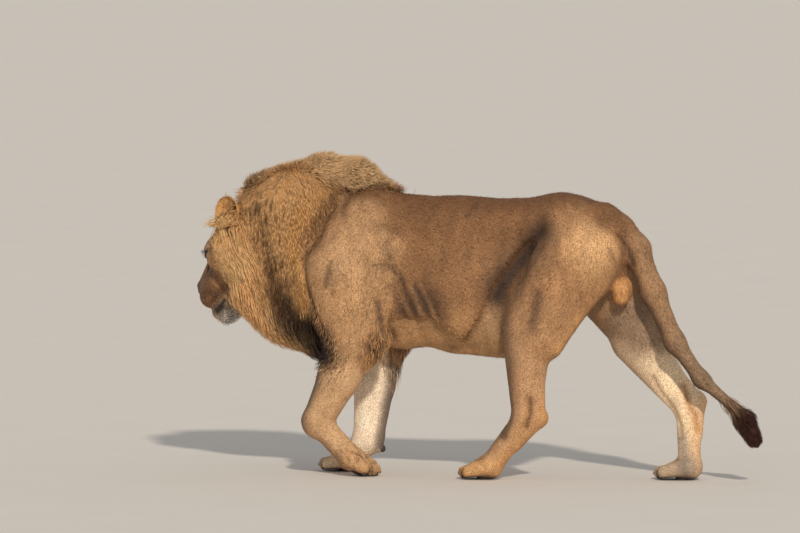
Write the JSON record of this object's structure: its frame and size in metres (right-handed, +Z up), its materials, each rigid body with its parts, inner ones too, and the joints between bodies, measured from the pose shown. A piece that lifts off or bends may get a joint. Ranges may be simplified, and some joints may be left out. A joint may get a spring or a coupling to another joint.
{
  "type": "lion",
  "caption": "Life-size model of a male lion walking with its head low, with a full mane and a tufted tail, standing on its paws.",
  "frame": {"origin": "on the floor, under the middle of the bounding box", "axes": "+Z up; the lion walks towards -X; its left side is at -Y and its right side at +Y"},
  "size_m": [2.3018, 0.4858, 1.2373],
  "materials": {
    "coat": "short tawny fur, matt",
    "mane": "long coarse hair, brown and gold, matt",
    "tuft": "long dark hair, matt",
    "eye": "wet, clear",
    "nose": "damp, fine grained",
    "mouth": "dark, smooth",
    "pad": "rough, worn",
    "claw": "horn, smooth",
    "whisker": "stiff pale hair"
  },
  "bodies": {
    "root": {"ear_left": "coat", "ear_right": "coat", "eye_left": "eye", "eye_right": "eye", "fore_left_forearm": "coat", "fore_left_paw": "coat", "fore_left_shoulder": "coat", "fore_right_forearm": "coat", "fore_right_paw": "coat", "fore_right_shoulder": "coat", "head": "coat", "hind_left_foot": "coat", "hind_left_paw": "coat", "hind_left_shank": "coat", "hind_left_thigh": "coat", "hind_right_foot": "coat", "hind_right_paw": "coat", "hind_right_shank": "coat", "hind_right_thigh": "coat", "jaw": "coat", "mane_chest": "mane", "mane_crest": "mane", "mane_neck": "mane", "mane_ruff": "mane", "nose": "nose", "scrotum": "coat", "tail_end": "coat", "tail_middle": "coat", "tail_root": "coat", "tail_tuft": "tuft", "trunk": "coat"}
  },
  "joints": []
}
